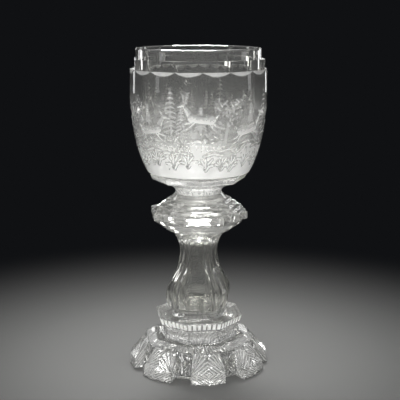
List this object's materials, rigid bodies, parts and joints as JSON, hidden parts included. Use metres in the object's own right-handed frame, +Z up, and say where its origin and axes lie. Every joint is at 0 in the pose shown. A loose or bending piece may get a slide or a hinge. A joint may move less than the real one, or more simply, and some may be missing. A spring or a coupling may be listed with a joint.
{
  "type": "cut glass goblet",
  "caption": "Tall cut glass goblet: thick cup with ground flats and scalloped shoulder, disc knop, panelled baluster stem, eight-sided plinth and lobed foot.",
  "frame": {"origin": "centre of the foot's underside, on the surface it stands on", "axes": "+Z up along the stem's axis; -Y is the front, through the middle of a side of the foot and plinth; +X to the right"},
  "size_m": [0.1254, 0.1254, 0.28],
  "materials": {
    "clear_glass": "colourless glass, wheel cut and polished",
    "engraved_glass": "colourless glass, polished, with a matt wheel-engraved frieze"
  },
  "bodies": {
    "root": {"foot": "clear_glass", "plinth": "clear_glass", "stem": "clear_glass", "disc_knop": "clear_glass", "bowl": "engraved_glass"}
  },
  "joints": []
}
